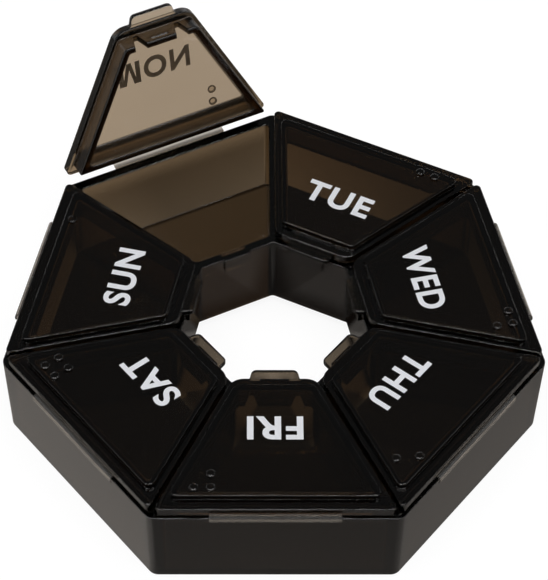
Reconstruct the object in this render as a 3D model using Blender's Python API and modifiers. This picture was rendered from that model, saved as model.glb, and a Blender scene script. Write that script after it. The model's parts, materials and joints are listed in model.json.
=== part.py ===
"""A seven-day pill box: a seven-sided ring tray with a snap lid on a living hinge for each day.

Lengths are in metres and angles in radians. The tray stands on z = 0, its front side faces -Y, and
the origin is under the middle of the whole box, with the one lid that stands open. Each sector is
modelled once in its own frame, where +X points outwards through the middle of the side and Y runs
along the side, and is then turned into place about the axis of the central hole.
"""
import math

import bmesh
import bpy
from mathutils import Matrix, Vector

# The days, in the order in which they run clockwise when the ring is seen from above
DAYS = ("sunday", "monday", "tuesday", "wednesday", "thursday", "friday", "saturday")
FRONT_DAY = "friday"
OPEN_DAY = "monday"
OPEN_ANGLE = math.radians(99.2)
FULL_OPEN_ANGLE = math.radians(180.0)
SHARP_ANGLE = math.radians(30.0)

# The tray
RIM_RADIUS = 0.0550
FOOT_RADIUS = 0.0543
TRAY_HEIGHT = 0.0199
HOLE_RIM_RADIUS = 0.0190
HOLE_FOOT_RADIUS = 0.0193
OUTER_WALL = 0.0022
OUTER_FOOT_WALL = 0.0016
INNER_WALL = 0.0020
DIVIDER_WALL = 0.0017
FLOOR_THICKNESS = 0.0012
CORNER_ROUND = 0.0023
FOOT_ROUND = 0.0004
HOLE_CORNER_ROUND = 0.0012
HOLE_FOOT_ROUND = 0.0040
POCKET_CORNER_ROUND = 0.0014
POCKET_FLOOR_ROUND = 0.0008

# The catch on each inner wall: a lug on the hole side, with a window behind it
LUG_WIDTH = 0.0058
LUG_HEIGHT = 0.0031
LUG_PROUD = 0.0005
WINDOW_WIDTH = 0.0054
WINDOW_TOP_DROP = 0.0011
WINDOW_HEIGHT = 0.0019
WINDOW_DEPTH = 0.0006

# The lid's flanged plate
LID_GAP = 0.0003
PLATE_THICKNESS = 0.0020
PLATE_OUTER_SETBACK = 0.0005
PLATE_SIDE_GAP = 0.00035
PLATE_HOLE_SETBACK = 0.0007
PLATE_OUTER_ROUND = 0.0009
PLATE_INNER_ROUND = 0.0035
PANEL_RISE = 0.0012
PANEL_THICKNESS = 0.0014
PANEL_END_INSET = 0.0024
PANEL_SIDE_INSET = 0.0014
PANEL_ROUND = 0.0012

# The finger tab
TAB_LENGTH = 0.0024
TAB_ROOT_WIDTH = 0.0100
TAB_END_WIDTH = 0.0088
TAB_THICKNESS = 0.0012
TAB_TOP_DROP = 0.0002
TAB_ROUND = 0.0011

# The lid's skirt, its springy tongue and its snap bump
SKIRT_DEPTH = 0.0035
SKIRT_WALL = 0.0014
SKIRT_CLEARANCE = 0.00035
NOTCH_OFFSET = 0.00455
NOTCH_HEIGHT = 0.0035
NOTCH_MOUTH = 0.0027
NOTCH_ROOT = 0.0009
BUMP_WIDTH = 0.0048
BUMP_HEIGHT = 0.0010
BUMP_PROUD = 0.00025

# The raised number dots
DOT_RADIUS = 0.00075
DOT_RISE = 0.0005
DOT_PITCH = 0.0032
DOT_END_INSET = 0.0018
DOT_SIDE_INSET = 0.0051

# The living hinge
FILM_THICKNESS = 0.0003
FILM_LENGTH_ALONG_SIDE = 0.0250
FILM_CLEARANCE = 0.0003
FILM_SLACK_SHARE = 0.03
PIVOT_STANDOFF = 0.0008
PIVOT_DROP = 0.00035

# How far every cutter runs past what it cuts
OVERRUN = 0.0010

# Counts of straight steps that stand for a round shape
ROUND_STEPS = 5
SMALL_ROUND_STEPS = 3
FILM_STEPS = 10
DOT_SEGMENTS = 12
DOT_RINGS = 6
BISECTION_STEPS = 40

# Six-dot cells that spell the numbers one to seven: dots 1 to 3 run down the first column
NUMBER_DOTS = {
    "sunday": (1,),
    "monday": (1, 2),
    "tuesday": (1, 4),
    "wednesday": (1, 4, 5),
    "thursday": (1, 5),
    "friday": (1, 2, 4),
    "saturday": (1, 2, 4, 5),
}
ROWS_IN_CELL = 3
LAST_COLUMN = 1

# Colours of the smoke plastic, seen in the solid, in a thin lid and in the hinge film
TRAY_COLOUR = (0.020, 0.018, 0.016)
LID_COLOUR = (0.012, 0.011, 0.010)
FILM_COLOUR = (0.25, 0.22, 0.20)
TRAY_ROUGHNESS = 0.28
LID_ROUGHNESS = 0.12
FILM_ROUGHNESS = 0.30

# Worked out from the driving dimensions
SIDES = len(DAYS)
SECTOR_ANGLE = 2.0 * math.pi / SIDES
HALF_SECTOR = SECTOR_ANGLE / 2.0
FRONT_AZIMUTH = -math.pi / 2.0
RIM_APOTHEM = RIM_RADIUS * math.cos(HALF_SECTOR)
PLATE_LOW = TRAY_HEIGHT + LID_GAP
PLATE_HIGH = PLATE_LOW + PLATE_THICKNESS
PLATE_MIDDLE = PLATE_LOW + PLATE_THICKNESS / 2.0
PANEL_HIGH = PLATE_HIGH + PANEL_RISE
CAVITY_HIGH = PANEL_HIGH - PANEL_THICKNESS
SKIRT_LOW = TRAY_HEIGHT - SKIRT_DEPTH
PLATE_OUTER = RIM_APOTHEM - PLATE_OUTER_SETBACK
PLATE_INNER = HOLE_RIM_RADIUS * math.cos(HALF_SECTOR) + PLATE_HOLE_SETBACK
PANEL_NEAR = PLATE_INNER + PANEL_END_INSET
PANEL_FAR = PLATE_OUTER - PANEL_END_INSET
PANEL_SIDE_GAP = PLATE_SIDE_GAP + PANEL_SIDE_INSET
PIVOT = Vector((RIM_APOTHEM + PIVOT_STANDOFF, 0.0, TRAY_HEIGHT - PIVOT_DROP))


def day_azimuth(day):
    """The direction of a day's side, from above: the days run clockwise from the front one."""
    steps = DAYS.index(day) - DAYS.index(FRONT_DAY)
    return FRONT_AZIMUTH - steps * SECTOR_ANGLE


def outer_apothem(height):
    """Distance from the axis to a flat of the tray's outer wall, at a height."""
    foot = FOOT_RADIUS * math.cos(HALF_SECTOR)
    rim = RIM_RADIUS * math.cos(HALF_SECTOR)
    return foot + (rim - foot) * height / TRAY_HEIGHT


def hole_apothem(height):
    """Distance from the axis to a flat of the tapered hole, at a height."""
    foot = HOLE_FOOT_RADIUS * math.cos(HALF_SECTOR)
    rim = HOLE_RIM_RADIUS * math.cos(HALF_SECTOR)
    return foot + (rim - foot) * height / TRAY_HEIGHT


def pocket_far(height):
    """Distance from the axis to the outer wall's compartment face, at a height."""
    wall = OUTER_FOOT_WALL + (OUTER_WALL - OUTER_FOOT_WALL) * height / TRAY_HEIGHT
    return outer_apothem(height) - wall


def pocket_near(height):
    """Distance from the axis to the inner wall's compartment face, at a height."""
    return hole_apothem(height) + INNER_WALL


def sector_half_width(apothem, side_gap):
    """Half the width of a sector at an apothem, side_gap inside its two boundary lines."""
    return apothem * math.tan(HALF_SECTOR) - side_gap / math.cos(HALF_SECTOR)


def round_setback(radius, corner_angle):
    """How far from a corner a round of this radius starts, measured along its sides."""
    return radius / math.tan(corner_angle / 2.0)


def clear_scene():
    """Remove every object, so that the model starts from nothing."""
    for thing in list(bpy.data.objects):
        bpy.data.objects.remove(thing, do_unlink=True)


def new_collection(name):
    """Make a collection under the scene's own."""
    collection = bpy.data.collections.new(name)
    bpy.context.scene.collection.children.link(collection)
    return collection


def smoke_plastic(name, colour, roughness):
    """A plain Principled material."""
    material = bpy.data.materials.new(name)
    material.use_nodes = True
    shader = material.node_tree.nodes["Principled BSDF"]
    shader.inputs["Base Color"].default_value = (*colour, 1.0)
    shader.inputs["Roughness"].default_value = roughness
    shader.inputs["Metallic"].default_value = 0.0
    material.diffuse_color = (*colour, 1.0)
    return material


def mesh_from(bm, name):
    """Turn a bmesh into a mesh with its faces pointing out."""
    bmesh.ops.recalc_face_normals(bm, faces=bm.faces)
    mesh = bpy.data.meshes.new(name)
    bm.to_mesh(mesh)
    bm.free()
    return mesh


def add_object(name, mesh, collection, material=None):
    """Link a mesh as an object."""
    thing = bpy.data.objects.new(name, mesh)
    if material is not None:
        mesh.materials.append(material)
    collection.objects.link(thing)
    return thing


def add_cutter(name, mesh, cutters):
    """Link a mesh as a hidden Boolean operand."""
    thing = add_object(name, mesh, cutters)
    thing.hide_render = True
    thing.display_type = "WIRE"
    return thing


def combine(thing, other, operation):
    """Join another object to this one, or cut it out of this one."""
    modifier = thing.modifiers.new(other.name, "BOOLEAN")
    modifier.operation = operation
    modifier.object = other
    modifier.solver = "EXACT"


def tapered_block(near, far, near_half, far_half, low, high):
    """A six-sided block in the sector's frame.

    near and far are the distances of its inner and outer faces from the axis, and near_half and
    far_half are half its width there. Each is a pair: its value at the low and at the high face.
    """
    bm = bmesh.new()
    bmesh.ops.create_cube(bm, size=2.0)
    for vertex in bm.verts:
        level = 0 if vertex.co.z < 0.0 else 1
        inner = vertex.co.x < 0.0
        reach = near[level] if inner else far[level]
        half = near_half[level] if inner else far_half[level]
        side = math.copysign(half, vertex.co.y)
        vertex.co = Vector((reach, side, high if level else low))
    return bm


def sector_block(near, far, side_gap, low, high):
    """A block that fills a sector between two distances from the axis, side_gap inside its lines."""
    near_half = [sector_half_width(reach, side_gap) for reach in near]
    far_half = [sector_half_width(reach, side_gap) for reach in far]
    return tapered_block(near, far, near_half, far_half, low, high)


def upright_edges(bm, inner):
    """The edges that join the low face to the high one, on the inner or on the outer side."""
    middle = sum((vertex.co.x for vertex in bm.verts), 0.0) / len(bm.verts)
    found = []
    for edge in bm.edges:
        run = edge.verts[1].co - edge.verts[0].co
        near_side = edge.verts[0].co.x < middle
        if abs(run.z) > abs(run.x) + abs(run.y) and near_side == inner:
            found.append(edge)
    return found


def level_edges(bm, level):
    """The edges that lie in the horizontal plane at a level."""
    top = max(vertex.co.z for vertex in bm.verts)
    bottom = min(vertex.co.z for vertex in bm.verts)
    wanted = top if level == "high" else bottom
    other = bottom if level == "high" else top
    return [edge for edge in bm.edges
            if all(abs(v.co.z - wanted) < abs(v.co.z - other) for v in edge.verts)]


def round_edges(bm, edges, setback, steps):
    """Round some edges, starting a setback away from each."""
    bmesh.ops.bevel(bm, geom=edges, offset=setback, offset_type="OFFSET",
                    segments=steps, profile=0.5, affect="EDGES", clamp_overlap=True)


def round_uprights(bm, inner_radius, outer_radius, steps):
    """Round a sector block's upright edges, with one radius inside and another outside."""
    outer_corner = math.pi / 2.0 - HALF_SECTOR
    inner_corner = math.pi / 2.0 + HALF_SECTOR
    inner_edges = upright_edges(bm, True)
    outer_edges = upright_edges(bm, False)
    round_edges(bm, inner_edges, round_setback(inner_radius, inner_corner), steps)
    outer_edges = [edge for edge in outer_edges if edge.is_valid]
    round_edges(bm, outer_edges, round_setback(outer_radius, outer_corner), steps)


def ring_of_copies(bm):
    """Repeat what the bmesh holds once for each sector, turned about the axis."""
    first = bm.verts[:] + bm.edges[:] + bm.faces[:]
    for step in range(1, SIDES):
        copied = bmesh.ops.duplicate(bm, geom=first)["geom"]
        turned = [item for item in copied if isinstance(item, bmesh.types.BMVert)]
        turn = Matrix.Rotation(step * SECTOR_ANGLE, 3, "Z")
        bmesh.ops.rotate(bm, verts=turned, cent=(0.0, 0.0, 0.0), matrix=turn)
    turn = Matrix.Rotation(FRONT_AZIMUTH, 3, "Z")
    bmesh.ops.rotate(bm, verts=bm.verts[:], cent=(0.0, 0.0, 0.0), matrix=turn)
    return bm


def seven_sided_frustum(low_radius, high_radius, low, high):
    """An upright seven-sided frustum with a flat side at the front."""
    bm = bmesh.new()
    middle = Matrix.Translation((0.0, 0.0, (low + high) / 2.0))
    bmesh.ops.create_cone(bm, cap_ends=True, segments=SIDES, radius1=low_radius,
                          radius2=high_radius, depth=high - low, matrix=middle)
    return bm


def all_uprights(bm):
    """Every edge that rises more than it runs."""
    found = []
    for edge in bm.edges:
        run = edge.verts[1].co - edge.verts[0].co
        if abs(run.z) > Vector((run.x, run.y)).length:
            found.append(edge)
    return found


def tray_body():
    """The solid outside of the tray, with round corners and a rounded foot."""
    bm = seven_sided_frustum(FOOT_RADIUS, RIM_RADIUS, 0.0, TRAY_HEIGHT)
    corner = math.pi - SECTOR_ANGLE
    round_edges(bm, all_uprights(bm), round_setback(CORNER_ROUND, corner), ROUND_STEPS)
    round_edges(bm, level_edges(bm, "low"), FOOT_ROUND, SMALL_ROUND_STEPS)
    return mesh_from(bm, "tray_body")


def flared_hole_profile():
    """The hole's outline from below: pairs of a distance from the axis to a flat, and a height.

    The flare at the foot is a quarter round, whose steps are read from its cosine and sine.
    """
    flare = hole_apothem(0.0) + HOLE_FOOT_ROUND
    profile = [(flare, -OVERRUN)]
    for step in range(ROUND_STEPS + 1):
        angle = math.pi / 2.0 * (1.0 - step / ROUND_STEPS)
        height = HOLE_FOOT_ROUND * (1.0 - math.sin(angle))
        profile.append((hole_apothem(height) + HOLE_FOOT_ROUND * (1.0 - math.cos(angle)), height))
    profile.append((hole_apothem(TRAY_HEIGHT + OVERRUN), TRAY_HEIGHT + OVERRUN))
    return profile


def hole_cutter():
    """The hole through the middle: a round-cornered outline carried up its profile, past both faces."""
    profile = flared_hole_profile()
    apothem, height = profile[0]
    bm = bmesh.new()
    bmesh.ops.create_circle(bm, cap_ends=True, segments=SIDES, radius=apothem / math.cos(HALF_SECTOR),
                            matrix=Matrix.Translation((0.0, 0.0, height)))
    setback = round_setback(HOLE_CORNER_ROUND, math.pi - SECTOR_ANGLE)
    bmesh.ops.bevel(bm, geom=bm.verts[:], offset=setback, offset_type="OFFSET",
                    segments=SMALL_ROUND_STEPS, profile=0.5, affect="VERTICES", clamp_overlap=True)
    bmesh.ops.delete(bm, geom=bm.faces[:], context="FACES_ONLY")
    ring = bm.edges[:]
    for next_apothem, next_height in profile[1:]:
        grown = bmesh.ops.extrude_edge_only(bm, edges=ring)["geom"]
        points = {item for item in grown if isinstance(item, bmesh.types.BMVert)}
        ring = [edge for edge in bm.edges if points.issuperset(edge.verts)]
        scale = next_apothem / apothem
        bmesh.ops.scale(bm, vec=(scale, scale, 1.0), verts=list(points))
        bmesh.ops.translate(bm, vec=(0.0, 0.0, next_height - height), verts=list(points))
        apothem, height = next_apothem, next_height
    bmesh.ops.holes_fill(bm, edges=bm.edges[:])
    return mesh_from(bm, "hole_cutter")


def pocket_cutters():
    """The seven compartments, open at the top."""
    low = FLOOR_THICKNESS
    high = TRAY_HEIGHT + OVERRUN
    near = (pocket_near(low), pocket_near(high))
    far = (pocket_far(low), pocket_far(high))
    bm = sector_block(near, far, DIVIDER_WALL / 2.0, low, high)
    round_uprights(bm, POCKET_CORNER_ROUND, POCKET_CORNER_ROUND, SMALL_ROUND_STEPS)
    round_edges(bm, level_edges(bm, "low"), POCKET_FLOOR_ROUND, SMALL_ROUND_STEPS)
    return mesh_from(ring_of_copies(bm), "pocket_cutters")


def catch_lugs():
    """The lugs on the hole side of the inner walls, flush with the rim."""
    low = TRAY_HEIGHT - LUG_HEIGHT
    high = TRAY_HEIGHT
    near = (hole_apothem(low) - LUG_PROUD, hole_apothem(high) - LUG_PROUD)
    far = (hole_apothem(low) + INNER_WALL / 2.0, hole_apothem(high) + INNER_WALL / 2.0)
    half = (LUG_WIDTH / 2.0, LUG_WIDTH / 2.0)
    bm = tapered_block(near, far, half, half, low, high)
    round_edges(bm, upright_edges(bm, True), LUG_PROUD / 2.0, SMALL_ROUND_STEPS)
    return mesh_from(ring_of_copies(bm), "catch_lugs")


def window_cutters():
    """The windows behind the lugs, cut from the compartment side for the snap bumps."""
    high = TRAY_HEIGHT - WINDOW_TOP_DROP
    low = high - WINDOW_HEIGHT
    near = (pocket_near(low) - WINDOW_DEPTH, pocket_near(high) - WINDOW_DEPTH)
    far = (pocket_near(low) + OVERRUN, pocket_near(high) + OVERRUN)
    half = (WINDOW_WIDTH / 2.0, WINDOW_WIDTH / 2.0)
    bm = tapered_block(near, far, half, half, low, high)
    return mesh_from(ring_of_copies(bm), "window_cutters")


def make_tray(parts, cutters, material):
    """The one-piece tray: ring, floor, dividers, walls and catches."""
    tray = add_object("base_tray", tray_body(), parts, material)
    combine(tray, add_cutter("hole_cutter", hole_cutter(), cutters), "DIFFERENCE")
    combine(tray, add_cutter("pocket_cutters", pocket_cutters(), cutters), "DIFFERENCE")
    combine(tray, add_cutter("catch_lugs", catch_lugs(), cutters), "UNION")
    combine(tray, add_cutter("window_cutters", window_cutters(), cutters), "DIFFERENCE")
    return tray


def skirt_outer(height):
    """Distance from the axis to the outside of the skirt's latch wall, at a height."""
    return pocket_near(height) + SKIRT_CLEARANCE


def plate_block():
    """The lid's flanged plate, with round corners."""
    bm = sector_block((PLATE_INNER, PLATE_INNER), (PLATE_OUTER, PLATE_OUTER),
                      PLATE_SIDE_GAP, PLATE_LOW, PLATE_HIGH)
    round_uprights(bm, PLATE_INNER_ROUND, PLATE_OUTER_ROUND, ROUND_STEPS)
    return mesh_from(bm, "lid_plate")


def panel_block():
    """The raised panel on top of the plate."""
    bm = sector_block((PANEL_NEAR, PANEL_NEAR), (PANEL_FAR, PANEL_FAR), PANEL_SIDE_GAP,
                      PLATE_MIDDLE, PANEL_HIGH)
    round_uprights(bm, PANEL_ROUND, PANEL_ROUND, SMALL_ROUND_STEPS)
    return mesh_from(bm, "lid_panel")


def tab_block():
    """The finger tab, which reaches over the hole."""
    near = PLATE_INNER - TAB_LENGTH
    far = PLATE_INNER + TAB_LENGTH
    high = PLATE_HIGH - TAB_TOP_DROP
    near_half = (TAB_END_WIDTH / 2.0, TAB_END_WIDTH / 2.0)
    far_half = (TAB_ROOT_WIDTH / 2.0, TAB_ROOT_WIDTH / 2.0)
    bm = tapered_block((near, near), (far, far), near_half, far_half, high - TAB_THICKNESS, high)
    round_edges(bm, upright_edges(bm, True), TAB_ROUND, ROUND_STEPS)
    return mesh_from(bm, "lid_tab")


def skirt_block(inset, high):
    """The space inside the skirt's outer face, drawn in by an inset."""
    near = (skirt_outer(SKIRT_LOW) + inset, skirt_outer(high) + inset)
    draw_in = SKIRT_CLEARANCE + inset
    far = (pocket_far(SKIRT_LOW) - draw_in, pocket_far(high) - draw_in)
    low = SKIRT_LOW if inset == 0.0 else SKIRT_LOW - OVERRUN
    bm = sector_block(near, far, DIVIDER_WALL / 2.0 + draw_in, low, high)
    radius = POCKET_CORNER_ROUND - inset / 2.0
    round_uprights(bm, radius, radius, SMALL_ROUND_STEPS)
    return bm


def notch_cutters():
    """The two notches that free the tongue in the skirt's latch wall."""
    bm = bmesh.new()
    high = SKIRT_LOW + NOTCH_HEIGHT
    low = SKIRT_LOW - OVERRUN
    spread = (NOTCH_MOUTH - NOTCH_ROOT) / NOTCH_HEIGHT * OVERRUN
    near = (skirt_outer(SKIRT_LOW) - OVERRUN, skirt_outer(high) - OVERRUN)
    far = (skirt_outer(SKIRT_LOW) + SKIRT_WALL + OVERRUN, skirt_outer(high) + SKIRT_WALL + OVERRUN)
    half = ((NOTCH_MOUTH + spread) / 2.0, NOTCH_ROOT / 2.0)
    for side in (-1.0, 1.0):
        notch = tapered_block(near, far, half, half, low, high)
        bmesh.ops.translate(notch, verts=notch.verts[:], vec=(0.0, side * NOTCH_OFFSET, 0.0))
        mesh = mesh_from(notch, "notch")
        bm.from_mesh(mesh)
        bpy.data.meshes.remove(mesh)
    return mesh_from(bm, "notch_cutters")


def bump_block():
    """The snap bump: a ridge along the outside of the tongue, in line with the tray's window."""
    height = TRAY_HEIGHT - WINDOW_TOP_DROP - WINDOW_HEIGHT / 2.0
    bm = bmesh.new()
    bmesh.ops.create_cone(bm, cap_ends=True, segments=DOT_SEGMENTS, radius1=BUMP_HEIGHT / 2.0,
                          radius2=BUMP_HEIGHT / 2.0, depth=BUMP_WIDTH)
    bmesh.ops.rotate(bm, verts=bm.verts[:], cent=(0.0, 0.0, 0.0),
                     matrix=Matrix.Rotation(math.pi / 2.0, 3, "X"))
    flatten = BUMP_PROUD / (BUMP_HEIGHT / 2.0)
    bmesh.ops.scale(bm, vec=(flatten, 1.0, 1.0), verts=bm.verts[:])
    bmesh.ops.translate(bm, verts=bm.verts[:], vec=(skirt_outer(height), 0.0, height))
    return mesh_from(bm, "snap_bump")


def lid_blank(cutters):
    """The lid without its number dots, as one mesh about the pivot."""
    blank = add_cutter("lid_blank", plate_block(), cutters)
    combine(blank, add_cutter("lid_tab", tab_block(), cutters), "UNION")
    combine(blank, add_cutter("lid_panel", panel_block(), cutters), "UNION")
    skirt = mesh_from(skirt_block(0.0, PLATE_MIDDLE), "lid_skirt")
    combine(blank, add_cutter("lid_skirt", skirt, cutters), "UNION")
    cavity = mesh_from(skirt_block(SKIRT_WALL, CAVITY_HIGH), "lid_cavity")
    combine(blank, add_cutter("lid_cavity", cavity, cutters), "DIFFERENCE")
    combine(blank, add_cutter("notch_cutters", notch_cutters(), cutters), "DIFFERENCE")
    combine(blank, add_cutter("snap_bump", bump_block(), cutters), "UNION")
    graph = bpy.context.evaluated_depsgraph_get()
    graph.update()
    mesh = bpy.data.meshes.new_from_object(blank.evaluated_get(graph))
    mesh.name = "lid"
    mesh.transform(Matrix.Translation(-PIVOT))
    mesh.shade_smooth()
    mesh.set_sharp_from_angle(angle=SHARP_ANGLE)
    return mesh


def dot_mesh(day):
    """The raised dots of a day's number, about the pivot, in the panel's clockwise outer corner."""
    bm = bmesh.new()
    last_column = sector_half_width(PANEL_FAR, PANEL_SIDE_GAP) - DOT_SIDE_INSET
    for number in NUMBER_DOTS[day]:
        column, row = divmod(number - 1, ROWS_IN_CELL)
        reach = PANEL_FAR - DOT_END_INSET - row * DOT_PITCH
        side = last_column - (LAST_COLUMN - column) * DOT_PITCH
        place = Matrix.Translation(Vector((reach, -side, PANEL_HIGH)) - PIVOT)
        shape = Matrix.Diagonal((DOT_RADIUS, DOT_RADIUS, DOT_RISE, 1.0))
        bmesh.ops.create_uvsphere(bm, u_segments=DOT_SEGMENTS, v_segments=DOT_RINGS,
                                  radius=1.0, matrix=place @ shape)
    mesh = mesh_from(bm, day + "_dots")
    mesh.shade_smooth()
    return mesh


def make_lid(day, blank, parts, cutters, material):
    """One day's lid on its pivot: the shared blank with the day's own dots."""
    pivot = bpy.data.objects.new(day + "_pivot", None)
    parts.objects.link(pivot)
    turn = Matrix.Rotation(day_azimuth(day), 4, "Z")
    pivot.location = turn @ PIVOT
    swing = OPEN_ANGLE if day == OPEN_DAY else 0.0
    pivot.rotation_euler = (0.0, swing, day_azimuth(day))
    lid = add_object(day + "_lid", blank.copy(), parts, material)
    lid.parent = pivot
    dots = add_cutter(day + "_dots", dot_mesh(day), cutters)
    dots.parent = pivot
    combine(lid, dots, "UNION")
    return lid


def film_ends(swing):
    """The two ends of the hinge film's middle line, in the sector's X and Z, at a lid angle."""
    standoff = FILM_CLEARANCE + FILM_THICKNESS / 2.0
    fixed = Vector((RIM_APOTHEM + standoff, TRAY_HEIGHT - FILM_THICKNESS / 2.0))
    reach = PLATE_OUTER + standoff - PIVOT.x
    rise = PLATE_MIDDLE - PIVOT.z
    moved_reach = reach * math.cos(swing) + rise * math.sin(swing)
    moved_rise = rise * math.cos(swing) - reach * math.sin(swing)
    return fixed, Vector((PIVOT.x + moved_reach, PIVOT.z + moved_rise))


def film_length():
    """The film's length across the hinge: enough for its longest stretch, and a little slack."""
    spans = []
    for swing in (0.0, OPEN_ANGLE, FULL_OPEN_ANGLE):
        fixed, moved = film_ends(swing)
        spans.append((moved - fixed).length)
    return max(spans) * (1.0 + FILM_SLACK_SHARE)


def half_arc_angle(span, length):
    """Half the angle of the arc of a given length over a given span, found by halving a range."""
    low = 0.0
    high = math.pi
    for _ in range(BISECTION_STEPS):
        middle = (low + high) / 2.0
        if math.sin(middle) / middle > span / length:
            low = middle
        else:
            high = middle
    return (low + high) / 2.0


def film_mesh(day):
    """The hinge film at its lid's angle: a strip on an arc that bulges away from the tray."""
    swing = OPEN_ANGLE if day == OPEN_DAY else 0.0
    fixed, moved = film_ends(swing)
    span = (moved - fixed).length
    length = film_length()
    half_angle = half_arc_angle(span, length)
    radius = length / (2.0 * half_angle)
    along = (moved - fixed).normalized()
    outward = Vector((along.y, -along.x))
    centre = (fixed + moved) / 2.0 - outward * (radius * math.cos(half_angle))
    bm = bmesh.new()
    bmesh.ops.create_grid(bm, x_segments=FILM_STEPS, y_segments=1, size=1.0)
    for vertex in bm.verts:
        angle = vertex.co.x * half_angle
        point = centre + outward * (radius * math.cos(angle)) + along * (radius * math.sin(angle))
        side = vertex.co.y * FILM_LENGTH_ALONG_SIDE / 2.0
        vertex.co = Vector((point.x, side, point.y))
    mesh = bpy.data.meshes.new(day + "_film")
    bm.to_mesh(mesh)
    bm.free()
    mesh.shade_smooth()
    return mesh


def make_film(day, parts, material):
    """One day's living hinge."""
    film = add_object(day + "_hinge", film_mesh(day), parts, material)
    film.rotation_euler = (0.0, 0.0, day_azimuth(day))
    shell = film.modifiers.new("thickness", "SOLIDIFY")
    shell.thickness = FILM_THICKNESS
    shell.offset = 0.0
    return film


def footprint_centre(parts):
    """The middle, in X and Y, of the box round every part as it stands."""
    graph = bpy.context.evaluated_depsgraph_get()
    graph.update()
    corners = []
    for thing in parts.objects:
        if thing.type == "MESH":
            shown = thing.evaluated_get(graph)
            corners += [thing.matrix_world @ vertex.co for vertex in shown.data.vertices]
    low = [min(corner[axis] for corner in corners) for axis in range(2)]
    high = [max(corner[axis] for corner in corners) for axis in range(2)]
    return Vector(((low[0] + high[0]) / 2.0, (low[1] + high[1]) / 2.0, 0.0))


def centre_on_origin(parts, cutters):
    """Move everything alike, so that the origin is under the middle of the whole box."""
    shift = footprint_centre(parts)
    for thing in list(parts.objects) + list(cutters.objects):
        if thing.parent is None:
            thing.location -= shift


def main():
    """Build the tray, the hinges and the lids."""
    clear_scene()
    parts = new_collection("weekly_pill_box")
    cutters = new_collection("cutters")
    tray_plastic = smoke_plastic("tray_smoke_plastic", TRAY_COLOUR, TRAY_ROUGHNESS)
    lid_plastic = smoke_plastic("lid_smoke_plastic", LID_COLOUR, LID_ROUGHNESS)
    film_plastic = smoke_plastic("hinge_film_plastic", FILM_COLOUR, FILM_ROUGHNESS)
    make_tray(parts, cutters, tray_plastic)
    blank = lid_blank(cutters)
    for day in DAYS:
        make_film(day, parts, film_plastic)
        make_lid(day, blank, parts, cutters, lid_plastic)
    centre_on_origin(parts, cutters)


main()
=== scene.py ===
# %% [markdown]
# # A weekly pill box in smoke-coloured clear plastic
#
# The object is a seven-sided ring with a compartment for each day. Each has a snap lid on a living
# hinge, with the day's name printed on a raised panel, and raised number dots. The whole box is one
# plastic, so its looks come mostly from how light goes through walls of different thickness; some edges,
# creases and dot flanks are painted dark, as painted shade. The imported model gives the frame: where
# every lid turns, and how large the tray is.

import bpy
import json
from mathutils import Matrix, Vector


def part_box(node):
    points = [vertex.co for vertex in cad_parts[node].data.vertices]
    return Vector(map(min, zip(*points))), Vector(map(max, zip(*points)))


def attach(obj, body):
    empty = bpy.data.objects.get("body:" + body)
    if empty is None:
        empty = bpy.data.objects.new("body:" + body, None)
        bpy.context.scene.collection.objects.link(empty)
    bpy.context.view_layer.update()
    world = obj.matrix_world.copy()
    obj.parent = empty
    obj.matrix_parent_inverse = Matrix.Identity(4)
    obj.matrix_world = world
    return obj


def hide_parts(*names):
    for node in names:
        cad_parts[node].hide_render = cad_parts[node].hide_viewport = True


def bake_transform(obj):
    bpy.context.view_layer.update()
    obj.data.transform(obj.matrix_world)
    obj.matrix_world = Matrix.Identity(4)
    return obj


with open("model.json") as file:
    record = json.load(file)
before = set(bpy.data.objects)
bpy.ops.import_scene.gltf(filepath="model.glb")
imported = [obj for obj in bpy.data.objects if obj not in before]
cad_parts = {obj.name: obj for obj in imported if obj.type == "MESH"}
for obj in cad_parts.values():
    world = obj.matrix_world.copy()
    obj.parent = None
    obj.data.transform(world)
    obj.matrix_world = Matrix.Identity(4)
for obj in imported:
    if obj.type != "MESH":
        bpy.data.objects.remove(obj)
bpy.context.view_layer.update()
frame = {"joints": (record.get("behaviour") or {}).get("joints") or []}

# %% [markdown]
# Shapes are worked out as whole numpy arrays, and Blender's own tools only put them into meshes. Lengths
# are in metres, and a millimetre has a name, so that sizes read as a maker would say them.

# %% Bring in the libraries
import json
import math

import bmesh
import bpy
import numpy as np
from mathutils import Matrix, Vector
from mathutils.geometry import tessellate_polygon

MM = 0.001


def new_object(name, data):
    """Put a mesh, a text, a lamp or a camera into the scene as an object."""
    made = bpy.data.objects.new(name, data)
    bpy.context.scene.collection.objects.link(made)
    return made


def stacked(*coordinates):
    """Points, or other rows of numbers, from coordinates whose shapes fit each other."""
    return np.stack(np.broadcast_arrays(*coordinates), axis=-1)


def turned(x, y, angle):
    """A place turned by an angle: x times cos less y times sin, and x times sin plus y times cos."""
    cos, sin = np.cos(angle), np.sin(angle)
    return x * cos - y * sin, x * sin + y * cos


print("Blender", bpy.app.version_string)

# %% [markdown]
# The days run clockwise round the ring when it is seen from above. Each lid's joint says where its hinge
# lies, so the middle of the ring is the mean of the seven hinges, and a day's direction is the way from
# that middle to its hinge. The joint's lower limit says how far a lid stands open at rest.

# %% Read the ring from the joints
DAYS = ("sunday", "monday", "tuesday", "wednesday", "thursday", "friday", "saturday")
SIDES = len(DAYS)
HALF_SECTOR = math.pi / SIDES
SLANT = math.tan(HALF_SECTOR)


def by_day(*values):
    """A table of one value for each day, given from Sunday to Saturday."""
    return dict(zip(DAYS, values))


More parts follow.
